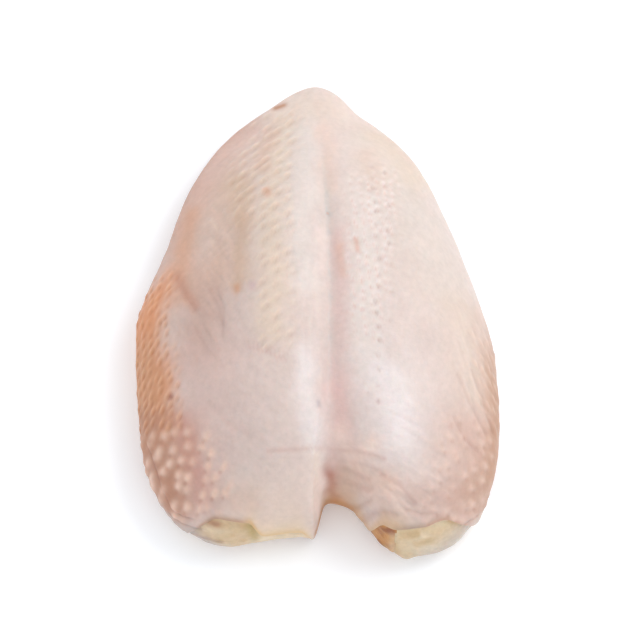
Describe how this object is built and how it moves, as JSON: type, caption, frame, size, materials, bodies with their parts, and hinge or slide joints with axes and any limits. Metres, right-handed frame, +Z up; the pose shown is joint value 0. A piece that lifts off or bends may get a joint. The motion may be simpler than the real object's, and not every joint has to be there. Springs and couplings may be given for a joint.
{
  "type": "raw chicken breast",
  "caption": "Raw skin-on chicken breast, both halves in one piece, lying skin side up: a domed heart shape with a furrow down the middle and a notched neck end.",
  "frame": {"origin": "middle of the footprint, on the surface that the meat rests on", "axes": "+Z up through the skin side, +Y towards the pointed tail end, +X to the right as seen from above with the notched neck end nearest"},
  "size_m": [0.1484, 0.2031, 0.0636],
  "materials": {
    "skin": "moist raw chicken skin, satin",
    "flesh": "moist raw muscle",
    "fat": "soft raw fat, glossy",
    "dark_tissue": "wet dark tissue"
  },
  "bodies": {
    "root": {"skin": "skin", "flesh": "flesh", "fat_left": "fat", "fat_right": "fat", "dark_tissue": "dark_tissue"}
  },
  "joints": []
}
